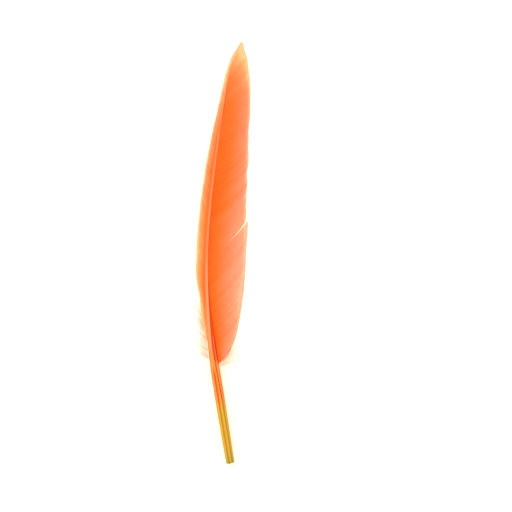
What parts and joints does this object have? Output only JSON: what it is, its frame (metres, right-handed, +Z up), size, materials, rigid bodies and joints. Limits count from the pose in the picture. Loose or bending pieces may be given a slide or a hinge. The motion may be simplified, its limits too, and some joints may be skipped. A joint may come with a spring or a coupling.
{
  "type": "duck quill",
  "caption": "Dyed wing feather lying flat: bare hollow quill, tapering rachis, narrow and broad vane with one split, and loose down at the foot.",
  "frame": {"origin": "middle of the bounding box's underside, on the surface that the feather lies on", "axes": "+Y along the feather from the cut end to the tip, +X towards the broad inner vane, +Z up out of the feather's upper side"},
  "size_m": [0.0226, 0.1758, 0.0035],
  "materials": {
    "shaft": "smooth horny keratin, dyed orange, turning olive-yellow towards the bare cut end",
    "outer_vane": "soft matt barbs, light orange, paler at the edge",
    "inner_vane": "soft matt barbs, deep orange at the shaft, paler towards the edge and the tip",
    "down": "loose downy barbs, very pale peach"
  },
  "bodies": {
    "root": {"shaft": "shaft", "outer_vane": "outer_vane", "inner_vane": "inner_vane", "outer_down": "down", "inner_down": "down"}
  },
  "joints": []
}
